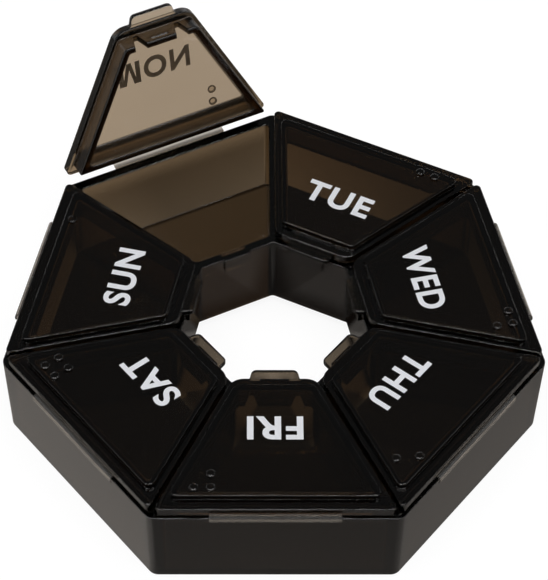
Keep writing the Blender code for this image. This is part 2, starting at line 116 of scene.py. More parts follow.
lid_joints = {joint["child"]: joint for joint in frame["joints"]}
hinge_points = np.array([lid_joints[day + "_lid"]["pos_m"] for day in DAYS])
RING_CENTRE = hinge_points[:, :2].mean(axis=0)
hinge_arms = hinge_points[:, :2] - RING_CENTRE
AZIMUTH = by_day(*np.arctan2(hinge_arms[:, 1], hinge_arms[:, 0]))
SWING = {day: math.radians(-lid_joints[day + "_lid"]["range_deg"][0]) for day in DAYS}
PIVOT_REACH = np.linalg.norm(hinge_arms, axis=1).mean()
PIVOT_HEIGHT = hinge_points[:, 2].mean()
print("hinge circle: %.2f mm, open lids: %s" % (PIVOT_REACH / MM, [d for d in DAYS if SWING[d] > 0]))

# %% [markdown]
# The tray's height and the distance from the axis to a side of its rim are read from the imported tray.
# The other sizes are wall thicknesses, clearances and rounds, each named once.

# %% Name the tray's sizes
tray_low, tray_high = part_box("base_tray")
TRAY_HEIGHT = tray_high.z
RIM_APOTHEM = RING_CENTRE[1] - tray_low.y
FOOT_DRAFT = 0.63 * MM
HOLE_RIM_APOTHEM = 17.12 * MM
HOLE_FOOT_APOTHEM = 17.39 * MM
OUTER_WALL = 2.2 * MM
OUTER_FOOT_WALL = 1.6 * MM
INNER_WALL = 2.0 * MM
DIVIDER_WALL = 1.7 * MM
FLOOR_THICKNESS = 1.2 * MM
CORNER_ROUND = 2.3 * MM
FOOT_ROUND = 0.4 * MM
HOLE_FOOT_ROUND = 4.0 * MM
RIM_EDGE_ROUND = 0.25 * MM
HOLE_CORNER_ROUND = 1.2 * MM
POCKET_CORNER_ROUND = 1.4 * MM
POCKET_FAR_ROUND = 0.7 * MM
POCKET_FLOOR_ROUND = 0.12 * MM
LUG_WIDTH = 5.8 * MM
LUG_HEIGHT = 3.1 * MM
LUG_PROUD = 0.5 * MM
WINDOW_WIDTH = 5.4 * MM
WINDOW_TOP_DROP = 1.1 * MM
WINDOW_HEIGHT = 1.9 * MM
WINDOW_DEPTH = 0.6 * MM
print("tray: %.1f mm tall, rim apothem %.2f mm" % (TRAY_HEIGHT / MM, RIM_APOTHEM / MM))

# %% [markdown]
# A lid is a flanged plate with a raised panel, a finger tab over the hole, and a skirt that drops into
# the compartment. Two notches free a springy tongue in the skirt, which carries a bump.

# %% Name the lid's sizes
LID_GAP = 0.3 * MM
PLATE_THICKNESS = 2.0 * MM
PLATE_OUTER = RIM_APOTHEM - 0.5 * MM
PLATE_INNER = HOLE_RIM_APOTHEM + 0.7 * MM
PLATE_SIDE_GAP = 0.35 * MM
PLATE_NEAR_ROUND = 3.5 * MM
PLATE_FAR_ROUND = 0.9 * MM
PLATE_EDGE = 0.28 * MM
PLATE_LOWER_EDGE = 0.15 * MM
PANEL_RISE = 1.2 * MM
PANEL_EDGE = 0.22 * MM
PANEL_FOOT = 0.06 * MM
PANEL_THICKNESS = 1.4 * MM
PANEL_END_INSET = 2.4 * MM
PANEL_SIDE_INSET = 1.4 * MM
PANEL_CORNER_ROUND = 1.2 * MM
TAB_LENGTH = 2.4 * MM
TAB_ROOT_HALF = 5.0 * MM
TAB_END_HALF = 4.4 * MM
TAB_THICKNESS = 1.2 * MM
TAB_TOP_DROP = 0.30 * MM
TAB_ROUND = 1.1 * MM
TAB_FILLET = 0.45 * MM
TAB_EDGE = 0.32 * MM
SKIRT_DEPTH = 3.5 * MM
SKIRT_WALL = 1.4 * MM
SKIRT_CLEARANCE = 0.35 * MM
SKIRT_EDGE = 0.3 * MM
SKIRT_ROOT = 0.25 * MM
CEILING_ROUND = 0.45 * MM
NOTCH_OFFSET = 4.55 * MM
NOTCH_HEIGHT = 3.5 * MM
NOTCH_MOUTH = 2.7 * MM
NOTCH_ROOT = 0.9 * MM
BUMP_WIDTH = 4.8 * MM
BUMP_HEIGHT = 1.0 * MM
BUMP_PROUD = 0.25 * MM

PLATE_LOW = TRAY_HEIGHT + LID_GAP
PLATE_HIGH = PLATE_LOW + PLATE_THICKNESS
PANEL_HIGH = PLATE_HIGH + PANEL_RISE
CAVITY_HIGH = PANEL_HIGH - PANEL_THICKNESS
SKIRT_LOW = TRAY_HEIGHT - SKIRT_DEPTH
print("lid: from %.1f to %.1f mm above the table" % (SKIRT_LOW / MM, PANEL_HIGH / MM))

# %% [markdown]
# A sector's outline is the wedge that one day takes up: a short side near the hole, a long side at the
# rim, and two flanks. Seven numbers describe it: how far its near and far sides are from the axis, its
# gap to the next sectors, the rounds of its near and far corners, and how much the two sides lean. To
# draw an outline in, a distance is added or taken away in a fixed pattern, so a fillet is written once.

# %% Describe a sector's outline
DRAW_IN = np.array([1.0, -1.0, 1.0, -1.0, -1.0, 0.0, 0.0])
LEAST_ROUND = 0.05 * MM
NEAR_LEAN = (HOLE_RIM_APOTHEM - HOLE_FOOT_APOTHEM) / TRAY_HEIGHT
FOOT_APOTHEM = RIM_APOTHEM - FOOT_DRAFT
POCKET_FAR_LOW = FOOT_APOTHEM - OUTER_FOOT_WALL
FAR_LEAN = (RIM_APOTHEM - OUTER_WALL - POCKET_FAR_LOW) / TRAY_HEIGHT
STEPS = 6

# The ways in which a profile turns: whether its flat part comes first, which way the outline is
# drawn, and whether the wall beside the flat goes up or down
TURNS = {
    "over the edge": (True, 1, -1),
    "into the opening": (True, -1, -1),
    "onto a flat below": (False, -1, 1),
    "under the edge": (False, 1, 1),
    "up from a flat": (True, -1, 1),
    "into a ceiling": (False, 1, -1),
}


def quarter(radius, steps=STEPS):
    """A quarter round: radius times (1 - sin) along one side, radius times (1 - cos) along the other."""
    angle = np.linspace(0.0, math.pi / 2.0, steps)
    return radius * (1.0 - np.sin(angle)), radius * (1.0 - np.cos(angle))


def bend(outline, height, radius, turn):
    """Rows for a quarter round at an edge of an outline. A row is the outline's sizes and its height."""
    flat_first, side, way = TURNS[turn]
    inset, rise = quarter(radius) if flat_first else quarter(radius)[::-1]
    return np.column_stack([outline + np.outer(side * inset, DRAW_IN), height + way * rise])


def levels(outline, heights):
    """Rows for a plain wall: the same outline at each height."""
    return np.column_stack([np.tile(outline, (len(heights), 1)), heights])


print("an outline is %d numbers, a quarter round %d rows" % (len(DRAW_IN), STEPS))

# %% [markdown]
# From those numbers come the points: straight runs with an arc at each corner. All rows are worked out
# at once, because the rounds and the leaning sides change from height to height.

# %% Turn outlines into loops of points
CORNER_STEPS = 8
FLANK_STEPS = 4


def arc_corners(corners, radii, steps):
    """Round the corners of closed polylines.

    At each corner the arc starts radius times the tangent of half the turn before it. A point of the
    arc is its centre plus the radius turned through a share of the corner's angle. corners is
    (rows, corners, 2) and radii (rows, corners); the result is (rows, corners, steps, 2).
    """
    into = corners - np.roll(corners, 1, axis=1)
    out = np.roll(corners, -1, axis=1) - corners
    into /= np.linalg.norm(into, axis=-1, keepdims=True)
    out /= np.linalg.norm(out, axis=-1, keepdims=True)
    cross = into[..., 0] * out[..., 1] - into[..., 1] * out[..., 0]
    turn = np.arctan2(cross, (into * out).sum(axis=-1))
    start = corners - into * (radii * np.tan(abs(turn) / 2.0))[..., None]
    arm = stacked(into[..., 1], -into[..., 0]) * (radii * np.sign(turn))[..., None]
    angle = turn[..., None] * np.linspace(0.0, 1.0, steps)
    return (start - arm)[:, :, None, :] + stacked(*turned(arm[..., :1], arm[..., 1:], angle))


def sector_loops(rows, near_places):
    """One closed loop of points for each row, in the sector's frame.

    X runs outwards through the middle of the side and Y along it. The loop is: a near corner, a flank,
    a far corner, the far side, a far corner, a flank, a near corner, and the near side, whose points
    are at the places given along Y. Places may be one set, or one set for each row.
    """
    near, far, gap, near_round, far_round, near_lean, far_lean, height = rows.T
    near, far = near + near_lean * height, far + far_lean * height
    narrow = gap / math.cos(HALF_SECTOR)
    near_half, far_half = near * SLANT - narrow, far * SLANT - narrow
    corners = np.array([[near, far, far, near], [-near_half, -far_half, far_half, near_half]]).T
    radii = stacked(near_round, far_round, far_round, near_round).clip(LEAST_ROUND)
    arcs = arc_corners(corners, radii, CORNER_STEPS)
    share = np.linspace(0.0, 1.0, FLANK_STEPS + 1)[1:-1, None]
    pieces = []
    for corner in range(3):
        start, end = arcs[:, corner, -1:], arcs[:, corner + 1, :1]
        pieces += [arcs[:, corner], start + (end - start) * share]
    near_side = stacked(near[:, None], near_places)
    flat = np.concatenate([*pieces, arcs[:, 3], near_side], axis=1)
    return stacked(flat[..., 0], flat[..., 1], height[:, None])


print("a corner has %d points, a flank %d between its corners" % (CORNER_STEPS, FLANK_STEPS - 1))

# %% [markdown]
# A day's pieces are all worked out in the sector's frame and then put in place: first turned about the
# hinge line, if the lid stands open, and then about the ring's axis, to the day's own direction.

# %% Put a sector's points in place
def swung(reach, rise, swing):
    """Turn a place in the sector's X and Z about the hinge line by the swing."""
    reach, rise = turned(reach - PIVOT_REACH, rise - PIVOT_HEIGHT, -swing)
    return PIVOT_REACH + reach, PIVOT_HEIGHT + rise


def in_place(points, day, swing=0.0):
    """Turn points about the hinge line by the swing and about the axis by the day's azimuth."""
    outward, height = swung(points[..., 0], points[..., 2], swing)
    x, y = turned(outward, points[..., 1], AZIMUTH[day])
    return stacked(RING_CENTRE[0] + x, RING_CENTRE[1] + y, height)


front_rim = in_place(np.array([RIM_APOTHEM, 0.0, TRAY_HEIGHT]), "friday")
print("middle of the front rim: (%.2f, %.2f, %.2f) mm" % tuple(front_rim / MM))

# %% [markdown]
# A finished piece is one closed skin, because light bends and fades between its outside and its inside.
# Loops are joined by quads, and what stays open is flat and is filled from its edge loops, less its
# holes. Points that coincide are merged. Flats keep their own normals with Weighted Normal, so that the
# polished panels mirror like glass and only the fillets catch light.

# %% Make a closed skin
MERGE = 0.000001
SHARP_ANGLE = math.radians(38.0)


def loop_quads(rows, columns):
    """Quads between each loop and the next: point (row, column), its neighbour, and those below."""
    row, column = np.arange(rows - 1)[:, None], np.arange(columns)[None, :]
    beside = (column + 1) % columns
    quads = [row * columns + column, row * columns + beside,
             (row + 1) * columns + beside, (row + 1) * columns + column]
    return stacked(*quads).reshape(-1, 4)


def closed_skin(name, grids, flats, place=None, darks=()):
    """Join grids of loops and flats, each a list of an edge loop and its holes, into one mesh object.

    place turns the points into the scene's. darks says for each grid how dark its points are; the mesh
    keeps that as an attribute, and everything else is clear and polished.
    """
    points, faces, dark, count = [], [], [], 0
    for grid, level in zip(grids, [*darks, *[0.0] * (len(grids) - len(darks))]):
        dark.append(np.broadcast_to(level, grid.shape[:2]).ravel())
        points.append(grid.reshape(-1, 3))
        faces += (loop_quads(*grid.shape[:2]) + count).tolist()
        count += len(points[-1])
    for loops in flats:
        points.append(np.concatenate(loops))
        dark.append(np.zeros(len(points[-1])))
        corners = tessellate_polygon([loop.tolist() for loop in loops])
        faces += (np.array(corners) + count).tolist()
        count += len(points[-1])
    points, dark = np.concatenate(points), np.concatenate(dark)
    mesh = bpy.data.meshes.new(name)
    mesh.from_pydata(points if place is None else place(points), [], faces)
    mesh.attributes.new("dark", "FLOAT", "POINT").data.foreach_set("value", dark)
    bm = bmesh.new()
    bm.from_mesh(mesh)
    bmesh.ops.remove_doubles(bm, verts=bm.verts, dist=MERGE)
    bmesh.ops.recalc_face_normals(bm, faces=bm.faces)
    loose = sum(not edge.is_manifold for edge in bm.edges)
    bm.to_mesh(mesh)
    bm.free()
    mesh.shade_smooth()
    mesh.set_sharp_from_angle(angle=SHARP_ANGLE)
    piece = new_object(name, mesh)
    normals = piece.modifiers.new("flats keep their normals", "WEIGHTED_NORMAL")
    normals.keep_sharp = True
    normals.weight = 100
    print("%s: %d faces, %d open edges" % (name, len(mesh.polygons), loose))
    return piece


print("merge below %.3f mm, sharp above %.0f degrees" % (MERGE / MM, math.degrees(SHARP_ANGLE)))

# %% [markdown]
# The finger tab grows out of the plate's short side. Seen from above it is a path of straight runs and
# arcs: along the side, round a small fillet, out to a round corner, across, and back the same way.
# Its edge is rounded by drawing the path in, so the path is a function of that distance.

# %% Work out the tab's path
TAB_ACROSS_STEPS = 24


def tab_paths(insets):
    """The tab's outline in the plate's short side for each inset, from +Y to -Y.

    A flank is a line that leans by the tab's taper, moved in by the inset; the end is a line at the
    tab's length less the inset; the corners between them are arcs.
    """
    insets = np.atleast_1d(insets)
    taper = (TAB_ROOT_HALF - TAB_END_HALF) / TAB_LENGTH
    root = TAB_ROOT_HALF - insets * math.hypot(1.0, taper)
    reach = TAB_LENGTH - insets
    end = root - taper * reach
    edge = np.full_like(insets, PLATE_INNER)
    wide = np.full_like(insets, 2.0 * TAB_ROOT_HALF)
    tip, none = edge - reach, np.zeros_like(insets)
    corners = np.array([[edge, edge, tip, tip, edge, edge, edge + TAB_LENGTH],
                        [wide, root, end, -end, -root, -wide, none]]).T
    fillet, tip_round = TAB_FILLET + insets, TAB_ROUND - insets
    radii = stacked(none, fillet, tip_round, tip_round, fillet, none, none)
    arcs = arc_corners(corners, radii, STEPS)
    share = np.linspace(0.0, 1.0, TAB_ACROSS_STEPS + 1)[1:-1, None]
    across = arcs[:, 2, -1:] + (arcs[:, 3, :1] - arcs[:, 2, -1:]) * share
    return np.concatenate([arcs[:, 1], arcs[:, 2], across, arcs[:, 3], arcs[:, 4]], axis=1)


TAB_PLACES = tab_paths(0.0)[0, :, 1]
print("tab: %d points along the short side" % len(TAB_PLACES))

# %% [markdown]
# The skirt's wall on the hole side has two notches and a snap bump between them. Both are functions on
# the skirt's own grid: the notch lifts the wall's lower edge, and the bump pushes its outer face out.
# Points along the wall are set closely where a notch begins and ends.

# %% Work out the skirt's notches and bump
WALL_LEAD = 0.15 * MM
BUMP_SQUARENESS = 6
notch_halves = np.array([NOTCH_MOUTH, NOTCH_ROOT, -NOTCH_ROOT, -NOTCH_MOUTH]) / 2.0
notch_marks = NOTCH_OFFSET + notch_halves
wall_marks = [notch_marks[0] + WALL_LEAD, *notch_marks, BUMP_WIDTH / 2.0, 0.0]
wall_counts = [1, 4, 3, 4, 2]
wall_counts.append((len(TAB_PLACES) - 1) // 2 - sum(wall_counts))
runs = zip(wall_marks[:-1], wall_marks[1:], wall_counts)
half_places = np.concatenate([np.linspace(*run, endpoint=False) for run in runs])
WALL_PLACES = np.concatenate([half_places, [0.0], -half_places[::-1]])


def notch_lift(along):
    """How far a notch lifts the wall's lower edge: a ramp on each side of a flat root."""
    ramp = (NOTCH_MOUTH - NOTCH_ROOT) / 2.0
    return NOTCH_HEIGHT * np.clip((NOTCH_MOUTH / 2.0 - abs(abs(along) - NOTCH_OFFSET)) / ramp, 0.0, 1.0)


def bump_push(along, height):
    """How far the bump stands proud: the root of one less the squared distance from its long axis.

    The place along it counts to the sixth power, so that its two ends are blunt.
    """
    middle = TRAY_HEIGHT - WINDOW_TOP_DROP - WINDOW_HEIGHT / 2.0
    across = (height - middle) / (BUMP_HEIGHT / 2.0)
    ends = (along / (BUMP_WIDTH / 2.0)) ** BUMP_SQUARENESS
    return BUMP_PROUD * np.sqrt(np.clip(1.0 - across ** 2 - ends, 0.0, 1.0))


print("skirt wall: %d points along, from %.2f mm" % (len(WALL_PLACES), WALL_PLACES[0] / MM))

# %% [markdown]
# A raised dot is a low dome. Its grid is rings that climb from the panel and close at the top, where the
# last ring's points meet in one. The numbers one to seven are spelled in six-dot cells.

# %% Work out the number dots
DOT_RADIUS = 0.92 * MM
DOT_RISE = 0.5 * MM
DOT_SQUARENESS = 0.5
DOT_PITCH = 3.2 * MM
DOT_END_INSET = 1.8 * MM
DOT_SIDE_INSET = 5.1 * MM
DOT_RINGS, DOT_POINTS = 13, 28
ROWS_IN_CELL = 3
LAST_COLUMN = 1
NUMBER_DOTS = by_day((1,), (1, 2), (1, 4), (1, 4, 5), (1, 5), (1, 2, 4), (1, 2, 4, 5))

PANEL_NEAR = PLATE_INNER + PANEL_END_INSET
PANEL_FAR = PLATE_OUTER - PANEL_END_INSET
PANEL_SIDE_GAP = PLATE_SIDE_GAP + PANEL_SIDE_INSET


def dot_rings(day):
    """A (rings, points, 3) dome for each of a day's dots.

    A dome's ring is radius times cos to a power across, and rise times sin to the same power up. A power
    below one gives steep flanks and a flat top.
    """
    climb = np.linspace(0.0, math.pi / 2.0, DOT_RINGS)[:, None]
    across, up = np.cos(climb).clip(0.0) ** DOT_SQUARENESS, np.sin(climb) ** DOT_SQUARENESS
    round_it = np.linspace(0.0, 2.0 * math.pi, DOT_POINTS, endpoint=False)
    far_half = PANEL_FAR * SLANT - PANEL_SIDE_GAP / math.cos(HALF_SECTOR)
    domes = []
    for number in NUMBER_DOTS[day]:
        column, row = divmod(number - 1, ROWS_IN_CELL)
        reach = PANEL_FAR - DOT_END_INSET - row * DOT_PITCH
        side = far_half - DOT_SIDE_INSET - (LAST_COLUMN - column) * DOT_PITCH
        x = reach + DOT_RADIUS * across * np.cos(round_it)
        y = -side + DOT_RADIUS * across * np.sin(round_it)
        domes.append(stacked(x, y, PANEL_HIGH + DOT_RISE * up))
    return domes


print("dots:", {day: len(numbers) for day, numbers in NUMBER_DOTS.items()})

# %% [markdown]
# A lid is one profile carried round its outline: over the panel's edge, down to the plate, over the
# plate's edge, in under it to the skirt, down, round the skirt's lower edge, up inside and into the
# ceiling. Two flats close it: the panel on top, with a hole for each dot, and the ceiling below.
# The skirt follows the compartment's outline, drawn in by a clearance, so that is written down here too.

# %% Write down the lid's outlines
PANEL = np.array([PANEL_NEAR, PANEL_FAR, PANEL_SIDE_GAP, PANEL_CORNER_ROUND, PANEL_CORNER_ROUND,
                  0.0, 0.0])
PLATE = np.array([PLATE_INNER, PLATE_OUTER, PLATE_SIDE_GAP, PLATE_NEAR_ROUND, PLATE_FAR_ROUND,
                  0.0, 0.0])
POCKET = np.array([HOLE_FOOT_APOTHEM + INNER_WALL, POCKET_FAR_LOW, DIVIDER_WALL / 2.0,
                   POCKET_CORNER_ROUND, POCKET_FAR_ROUND, NEAR_LEAN, FAR_LEAN])
SKIRT = POCKET + SKIRT_CLEARANCE * DRAW_IN
SKIRT_INSIDE = SKIRT + SKIRT_WALL * DRAW_IN
SKIRT_INSIDE[3:5] = POCKET_CORNER_ROUND - SKIRT_WALL / 2.0
SKIRT_FAR = SKIRT[1] + FAR_LEAN * PLATE_LOW
print("skirt: %.1f to %.1f mm from the axis at its foot" % (SKIRT[0] / MM, SKIRT[1] / MM))

# %% [markdown]
# Light that enters the flange's underside, the skirt's lower edge or the side of the raised panel runs
# sideways in the plastic and never comes back, so these are painted black, as painted shade, except the
# flange along the rim. The skirt has the fine grain of its mould, which makes it rough, and its colour
# is painted about half as dark, as painted shade. A dot's steep flank is painted dark as well, as
# painted shade. A number at each point carries that: 0 is clear, a half is the grain with its painted
# shade, and
# 1 is painted black. The material reads it later.

# %% Work out the lid's grid
# Levels of painted shade: the grain, which also paints the colour half as dark, and painted black
GRAIN_AND_SHADE, PAINTED_BLACK = 0.5, 1.0
SKIRT_LEVELS = 16
PANEL_EDGE_ROWS = slice(STEPS - 3, STEPS + 3)


def lid_grid():
    """The lid's loops, with the tab's path, the notches and the bump worked in on the hole side.

    The profile is rows of quarter rounds and plain levels. The second result is how dark each point is
    painted, as painted shade.
    """
    top = np.vstack([bend(PANEL, PANEL_HIGH, PANEL_EDGE, "over the edge"),
                     bend(PANEL, PLATE_HIGH, PANEL_FOOT, "onto a flat below"),
                     bend(PLATE, PLATE_HIGH, PLATE_EDGE, "over the edge")])
    tab_high = PLATE_HIGH - TAB_TOP_DROP
    tab_low = tab_high - TAB_THICKNESS
    inwards, down = quarter(TAB_EDGE)
    tab = levels(PLATE, [tab_high, *(tab_high - down), *(tab_low + inwards), tab_low])
    tab_insets = [*inwards, *inwards[::-1]]
    turn = bend(PLATE, PLATE_LOW, PLATE_LOWER_EDGE, "under the edge")
    wall_low = SKIRT_LOW + SKIRT_EDGE
    skirt = np.vstack([bend(SKIRT, PLATE_LOW, SKIRT_ROOT, "into the opening"),
                       levels(SKIRT, np.linspace(PLATE_LOW - SKIRT_ROOT, wall_low, SKIRT_LEVELS)[1:-1]),
                       bend(SKIRT, SKIRT_LOW, SKIRT_EDGE, "under the edge"),
                       bend(SKIRT_INSIDE, SKIRT_LOW, SKIRT_EDGE, "up from a flat"),
                       bend(SKIRT_INSIDE, CAVITY_HIGH, CEILING_ROUND, "into a ceiling")])
    rows = np.vstack([top, tab, turn, skirt])
    above = len(rows) - len(skirt)
    grid = sector_loops(rows, np.where(np.arange(len(rows))[:, None] < above, TAB_PLACES, WALL_PLACES))
    near_side = grid[:, -len(TAB_PLACES):]
    first = len(top) + 1
    near_side[first:first + len(tab_insets), :, :2] = tab_paths(tab_insets)
    wall = near_side[-len(skirt):]
    share = np.clip((PLATE_LOW - wall[..., 2]) / (PLATE_LOW - SKIRT_LOW), 0.0, 1.0)
    lift = notch_lift(wall[..., 1]) * share
    wall[..., 2] += lift
    wall[..., 0] += NEAR_LEAN * lift
    outside = wall[:-3 * STEPS]
    outside[..., 0] -= bump_push(outside[..., 1], outside[..., 2])
    # Painted shade: the skirt is grained and painted darker; the flange's underside except along the
    # rim, the skirt's lower edge and the panel's side are painted black
    dark = np.zeros(grid.shape[:2])
    dark[above:-1] = GRAIN_AND_SHADE
    flange = slice(above - len(turn), above + 2)
    dark[flange] = np.where(grid[flange, :, 0] < SKIRT_FAR, PAINTED_BLACK, 0.0)
    dark[-3 * STEPS:-2 * STEPS] = PAINTED_BLACK
    dark[PANEL_EDGE_ROWS] = PAINTED_BLACK
    return grid, dark


LID_GRID, LID_PAINTED_SHADE = lid_grid()
print("lid: %d loops of %d points" % LID_GRID.shape[:2])

# %% [markdown]
# The seven lids share one grid and differ in their dots. Only the lid that stands open has a swing.

# %% Build the lids
# A dot's steep flank is painted dark, as painted shade for the dark ring round each dot
DOT_FLANK, DOT_FLANK_PAINTED_SHADE = slice(2, 10), 0.9

dot_painted_shade = np.zeros((DOT_RINGS, 1))
dot_painted_shade[DOT_FLANK] = DOT_FLANK_PAINTED_SHADE

lids = {}
for day in DAYS:
    domes = dot_rings(day)
    panel_flat = [LID_GRID[0], *(dome[0] for dome in domes)]
    lids[day] = closed_skin(day + "_lid_shell", [LID_GRID, *domes], [panel_flat, [LID_GRID[-1]]],
                            lambda points: in_place(points, day, SWING[day]),
                            [LID_PAINTED_SHADE, *[dot_painted_shade] * len(domes)])
    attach(lids[day], day + "_lid")
    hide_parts(day + "_lid")

# %% [markdown]
# The tray's outer wall and the wall of its hole are seven-sided loops with arcs at the corners. One side
# is worked out and turned seven times. The catch lugs are a low step on the hole's wall, and the windows
# behind them a shallow step on the compartments' walls. Both have very short ramps for sides, so the
# walls stay one surface.

# %% Make seven-sided loops
RAMP = 0.06 * MM


def plateau(value, low, high):
    """One between low and high and zero outside them, with a short straight ramp at both ends."""
    return np.clip((value - low) / RAMP, 0.0, 1.0) * np.clip((high - value) / RAMP, 0.0, 1.0)


def step_marks(low, high):
    """Places where a plateau's ramps begin and end."""
    return [low, low + RAMP, high - RAMP, high]


def ring_loops(apothems, rounds, heights, side_places, corner_steps):
    """Seven-sided loops: for each side, the arc at its first corner and points along it.

    The arc's centre is where the sides, moved in by the round, meet. A point of it is the centre plus
    the round in a direction between the two sides' normals. Places are measured from the side's middle.
    """
    apothems, rounds, heights = (values[:, None] for values in (apothems, rounds, heights))
    angle = np.linspace(-2.0 * HALF_SECTOR, 0.0, corner_steps)
    centre = apothems - rounds
    arcs = stacked(centre + rounds * np.cos(angle), rounds * np.sin(angle) - centre * SLANT)
    flat = np.concatenate([arcs, stacked(apothems, side_places)], axis=1)
    return stacked(flat[..., 0], flat[..., 1], heights)


def all_round(loops):
    """Repeat one side's part of each loop seven times round the axis, in the day's directions."""
    turns = -math.pi / 2.0 + 2.0 * HALF_SECTOR * np.arange(SIDES)[:, None]
    x, y, z = (loops[:, None, :, axis] for axis in range(3))
    x, y = turned(x, y, turns)
    return stacked(RING_CENTRE[0] + x, RING_CENTRE[1] + y, z).reshape(len(loops), -1, 3)


print("a ring has %d sides, a step's ramp is %.2f mm" % (SIDES, RAMP / MM))

# %% [markdown]
# Three kinds of wall make up the tray: the outside, the hole's wall with a large round at its foot, and
# the wall of a compartment. Each is a list of heights, and how far the wall stands in at each of them.

# %% Shape the tray's walls
OUTER_SIDE_PLACES = 7
OUTER_CORNER_STEPS = 10
HOLE_FOOT_STEPS = 16
HOLE_CORNER_STEPS = 7
MIDDLE_OUT = np.array([-0.5, 0.5])


def outer_wall():
    """The outside: the rim's edge, the leaning wall and the rounded foot."""
    rim_in, rim_down = quarter(RIM_EDGE_ROUND)
    foot_up, foot_in = quarter(FOOT_ROUND)
    heights = np.concatenate([TRAY_HEIGHT - rim_down, foot_up])
    insets = np.concatenate([rim_in, foot_in])
    apothems = FOOT_APOTHEM + FOOT_DRAFT * heights / TRAY_HEIGHT - insets
    half_side = (FOOT_APOTHEM - CORNER_ROUND) * SLANT
    places = np.linspace(-half_side, half_side, OUTER_SIDE_PLACES)[1:-1]
    return all_round(ring_loops(apothems, CORNER_ROUND - insets, heights, places, OUTER_CORNER_STEPS))


def hole_wall():
    """The hole's wall: its rim edge, the lugs, the plain wall and the large round at the foot.

    A lug is the product of a plateau along the side and a ramp in height, and moves the wall by that.
    """
    lug_low = TRAY_HEIGHT - LUG_HEIGHT
    rim_in, rim_down = quarter(RIM_EDGE_ROUND)
    foot_up, foot_in = quarter(HOLE_FOOT_ROUND, HOLE_FOOT_STEPS)
    ramp = step_marks(lug_low - RAMP, lug_low + RAMP)[::-1]
    heights = np.concatenate([TRAY_HEIGHT - rim_down, ramp, foot_up])
    insets = np.concatenate([rim_in, np.zeros(len(ramp)), foot_in])
    apothems = HOLE_FOOT_APOTHEM + NEAR_LEAN * heights + insets
    rounds = np.full_like(apothems, HOLE_CORNER_ROUND)
    ends = LUG_WIDTH * MIDDLE_OUT
    loops = ring_loops(apothems, rounds, heights, step_marks(*ends), HOLE_CORNER_STEPS)
    proud = plateau(loops[..., 1], *ends) * np.clip((loops[..., 2] - lug_low + RAMP) / RAMP, 0.0, 1.0)
    loops[..., 0] -= LUG_PROUD * proud
    return all_round(loops)


def pocket_wall():
    """A compartment's wall, from the rim's edge down to the round at its floor, with its window.

    The window is the product of a plateau along the near side and one in height.
    """
    window_high = TRAY_HEIGHT - WINDOW_TOP_DROP
    span = (window_high - WINDOW_HEIGHT, window_high)
    ends = WINDOW_WIDTH * MIDDLE_OUT
    places = step_marks(*ends)[::-1]
    rows = np.vstack([bend(POCKET, TRAY_HEIGHT, RIM_EDGE_ROUND, "into the opening"),
                      levels(POCKET, step_marks(*span)[::-1]),
                      bend(POCKET, FLOOR_THICKNESS, POCKET_FLOOR_ROUND, "under the edge")])
    loops = sector_loops(rows, places)
    near_side = loops[:, -len(places):]
    sunk = plateau(near_side[..., 1], *ends) * plateau(near_side[..., 2], *span)
    near_side[..., 0] -= WINDOW_DEPTH * sunk
    return loops


outside, hole, pocket = outer_wall(), hole_wall(), pocket_wall()
print("loops: outside %d, hole %d, compartment %d" % (len(outside), len(hole), len(pocket)))

# %% [markdown]
# Flats close the tray between these walls: the rim on top, the foot below, and each compartment's floor.
# The line where a compartment's wall meets its floor looks dark, so its points are painted darker there,
# as painted shade in the crease.

# %% Build the tray
# Painted shade along the crease at the foot of each compartment's wall
FOOT_LINE_PAINTED_SHADE = 0.7

pockets = [in_place(pocket, day) for day in DAYS]
pocket_painted_shade = np.zeros((len(pocket), 1))
pocket_painted_shade[1 - STEPS:-1] = FOOT_LINE_PAINTED_SHADE
tray_flats = [[outside[0], hole[0], *(wall[0] for wall in pockets)], [outside[-1], hole[-1]],
              *([wall[-1]] for wall in pockets)]
tray = closed_skin("tray_shell", [*pockets, outside, hole], tray_flats, darks=[pocket_painted_shade] * SIDES)
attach(tray, "base")
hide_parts("base_tray")

# %% [markdown]
# A living hinge is a thin film that stays part of both the rim and the lid. Its middle line is an arc of
# fixed length between the two edges, so it bulges on a closed lid and is nearly straight on the open
# one. The film is thinnest in the middle, where it bends. It is one surface: a flat ring round the
# film's cross-section, carried along the side.

# %% Shape a living hinge
FILM_LENGTH = 1.95 * MM
FILM_HALF_WIDTH = 12.5 * MM
FILM_MIDDLE = 0.26 * MM
FILM_END = 0.42 * MM
FILM_CLEARANCE = 0.04 * MM
FILM_SLACK = 1.01
NEWTON_STEPS = 8
FILM_ACROSS = 17
FILM_ALONG = 41
STREAK_DARK = 0.45
STREAK_WAVES = 7.0
SWAY = 0.7
SWAY_LENGTH = 2.6 * MM


def film_ends(swing):
    """Where the film's middle line leaves the rim and where it meets the lid's edge, in X and Z."""
    standoff = FILM_CLEARANCE + FILM_END / 2.0
    fixed = np.array([RIM_APOTHEM + standoff, TRAY_HEIGHT - FILM_END / 2.0 - RIM_EDGE_ROUND / 2.0])
    moved = swung(PLATE_OUTER + standoff, (PLATE_LOW + PLATE_HIGH) / 2.0, swing)
    return fixed, np.array(moved)


def half_arc_angle(span, length):
    """Half the angle of the arc of this length over this span, by Newton's steps on sin(a) / a."""
    ratio = span / length
    angle = math.sqrt(6.0 * (1.0 - ratio))
    for _ in range(NEWTON_STEPS):
        slope = (angle * math.cos(angle) - math.sin(angle)) / angle ** 2
        angle -= (math.sin(angle) / angle - ratio) / slope
    return angle


